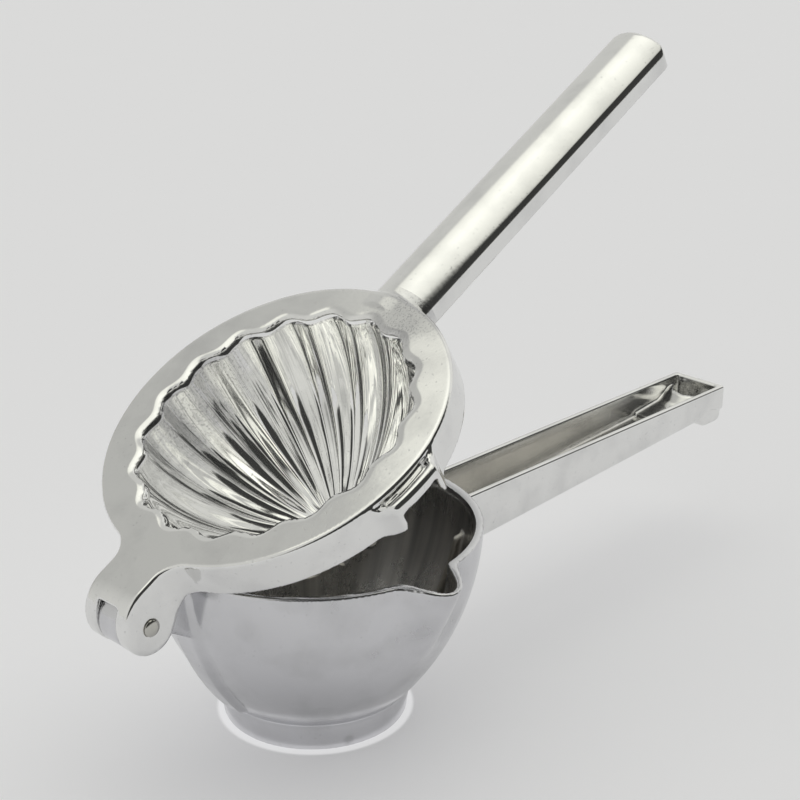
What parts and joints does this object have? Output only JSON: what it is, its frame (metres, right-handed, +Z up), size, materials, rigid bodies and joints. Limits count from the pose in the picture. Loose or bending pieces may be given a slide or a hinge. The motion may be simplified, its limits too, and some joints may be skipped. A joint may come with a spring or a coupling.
{
  "type": "hinged lemon squeezer",
  "caption": "Hinged lemon squeezer with a footed, spouted bowl, a fluted press cup in its lid and two long handles that squeeze shut.",
  "frame": {"origin": "centre of the foot ring where it stands on the table", "axes": "+Z up; +X from the hinge towards the handle ends; the spout is on the -Y side"},
  "size_m": [0.2408, 0.1019, 0.1663],
  "materials": {
    "castings": "polished",
    "cup": "polished",
    "pin": "satin"
  },
  "bodies": {
    "base": {"bowl": "castings", "lower_handle": "castings"},
    "lid": {"lid_plate": "castings", "press_cup": "cup", "upper_handle": "castings", "hinge_pin": "pin"}
  },
  "joints": [
    {"name": "lid_hinge", "type": "hinge", "parent": "base", "child": "lid", "pos_m": [-0.0595, 0, 0.0487], "axis": [0, -1, 0], "range_deg": [-29.5, 90.5]}
  ]
}
